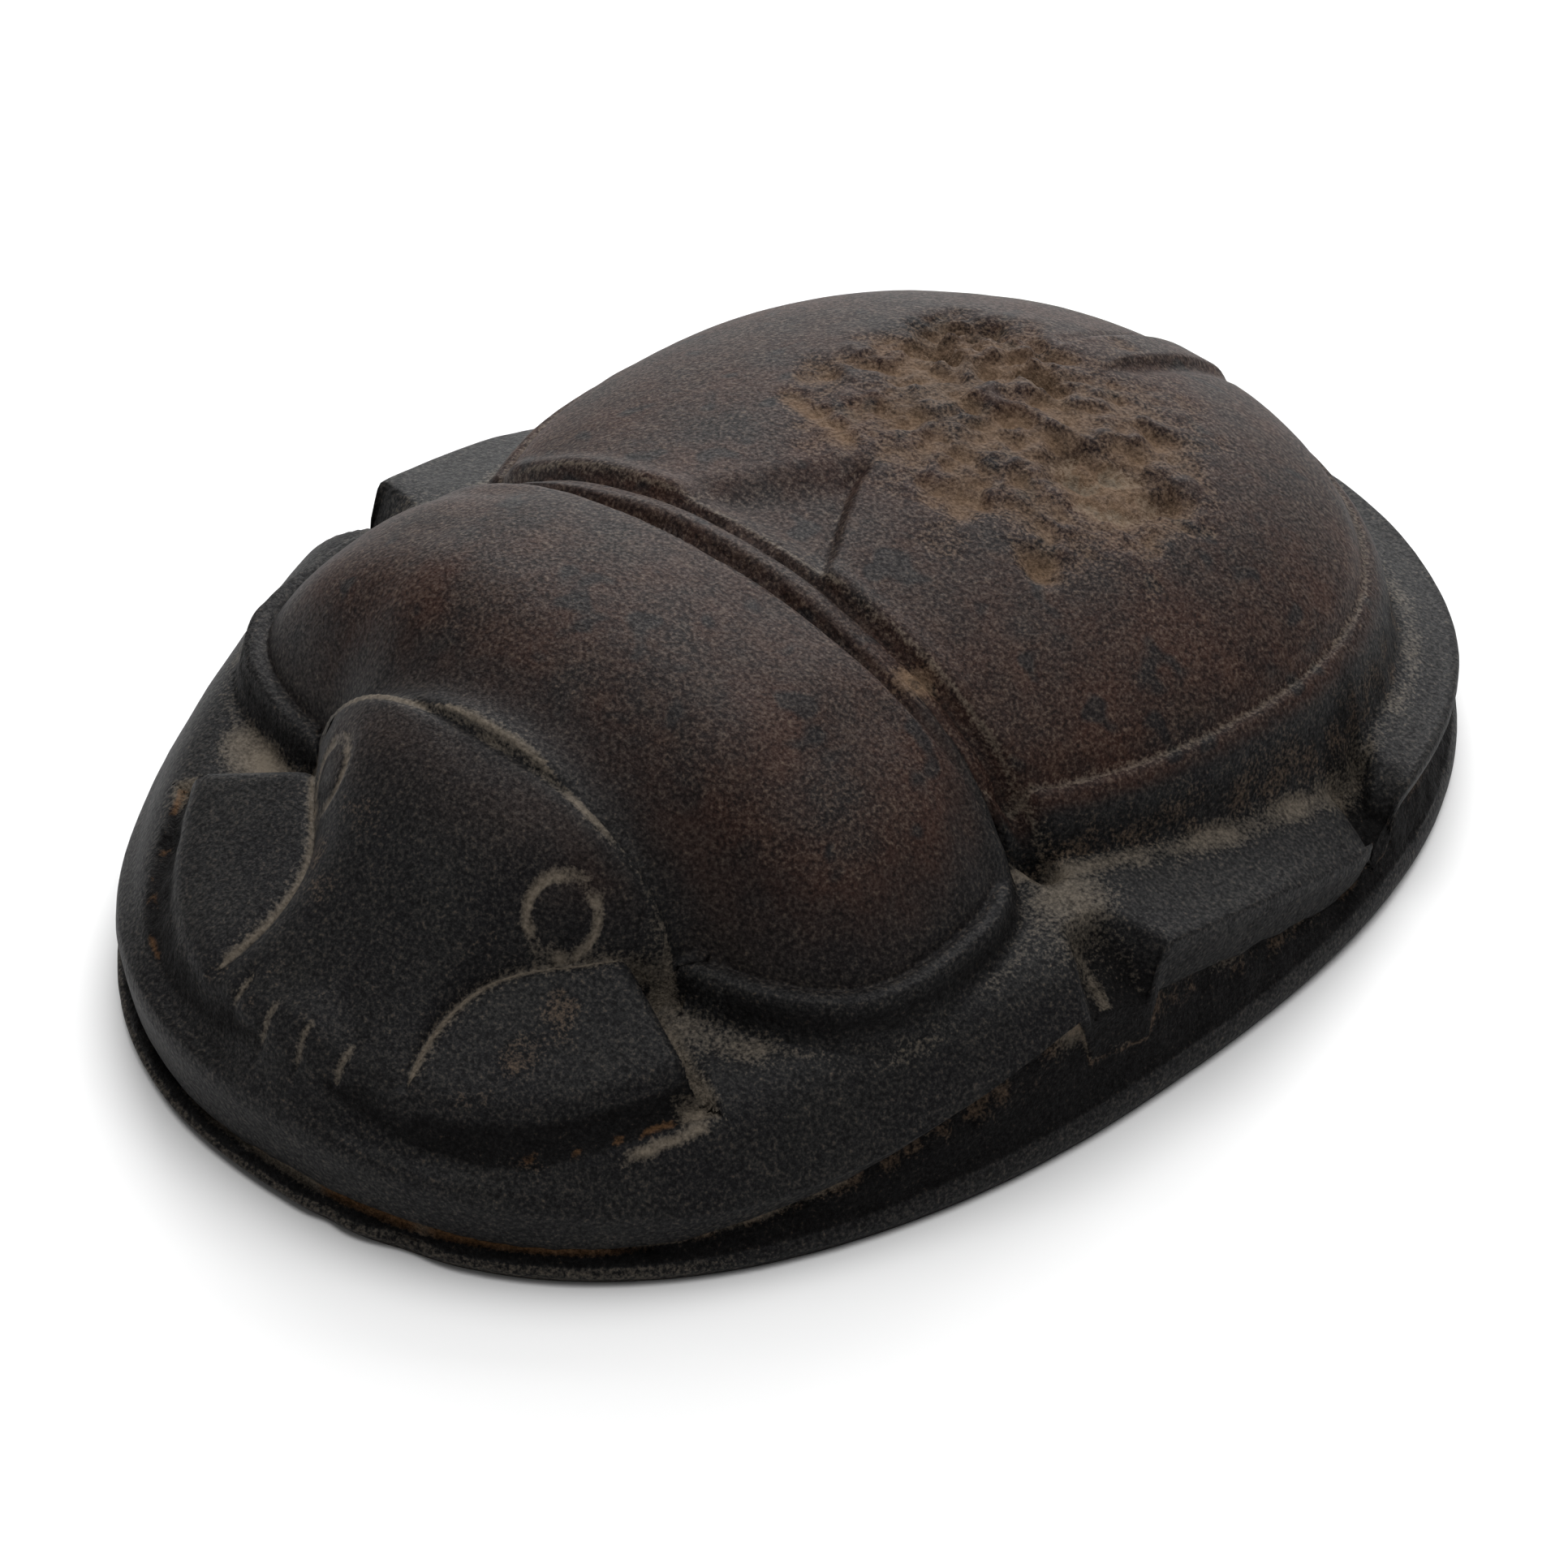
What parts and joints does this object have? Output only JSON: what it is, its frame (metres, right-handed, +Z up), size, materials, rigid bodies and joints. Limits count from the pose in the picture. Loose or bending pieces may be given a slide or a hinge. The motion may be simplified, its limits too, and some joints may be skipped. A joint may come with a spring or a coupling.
{
  "type": "scarab amulet",
  "caption": "Carved stone scarab amulet: a dung beetle with domed wing cases, toothed head and folded legs on a flat oval base slab.",
  "frame": {"origin": "centre of the oval underside, on the plane it rests on", "axes": "Z up from the underside; the head points to -Y and the tail to +Y; the beetle's left side is +X"},
  "size_m": [0.0394, 0.054, 0.0159],
  "materials": {
    "dark_stone": "satin"
  },
  "bodies": {
    "root": {"scarab": "dark_stone"}
  },
  "joints": []
}
